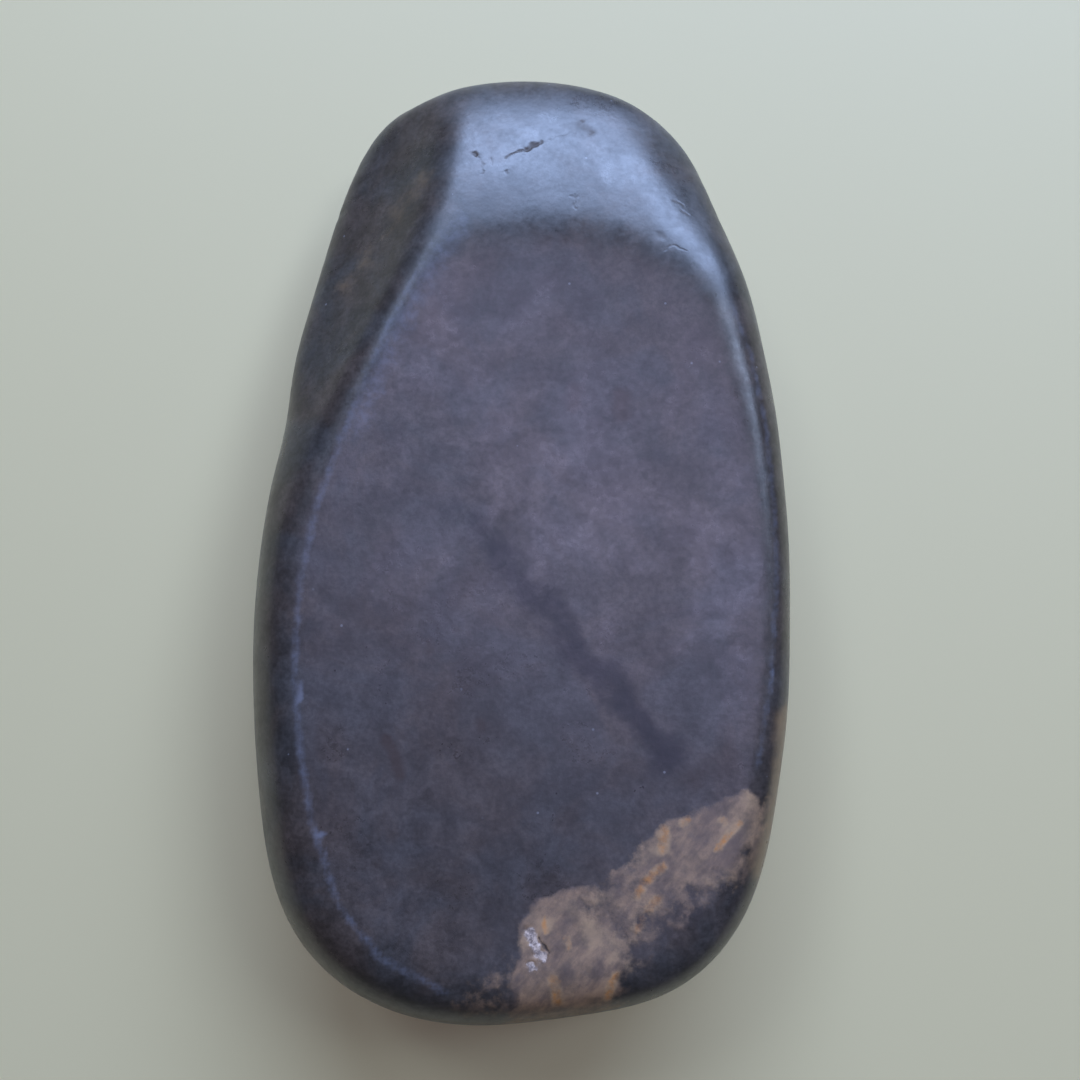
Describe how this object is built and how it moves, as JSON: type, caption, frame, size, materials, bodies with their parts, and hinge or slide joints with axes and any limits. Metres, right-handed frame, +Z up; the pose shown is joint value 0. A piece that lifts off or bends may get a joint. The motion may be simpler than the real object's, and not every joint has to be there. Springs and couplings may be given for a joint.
{
  "type": "massage stone",
  "caption": "Large smooth basalt placement stone with a shallow hollow on top and a softly tapered nose, warmed and laid on the body for hot-stone massage.",
  "frame": {"origin": "on the resting plane, under the middle of the stone's box", "axes": "+Y along the stone towards the narrow nose, +Z up out of the hollow top face, +X to the right when looking towards the nose from above"},
  "size_m": [0.1158, 0.206, 0.0396],
  "materials": {
    "basalt": "smooth, hand-polished satin"
  },
  "bodies": {
    "root": {"stone": "basalt"}
  },
  "joints": []
}
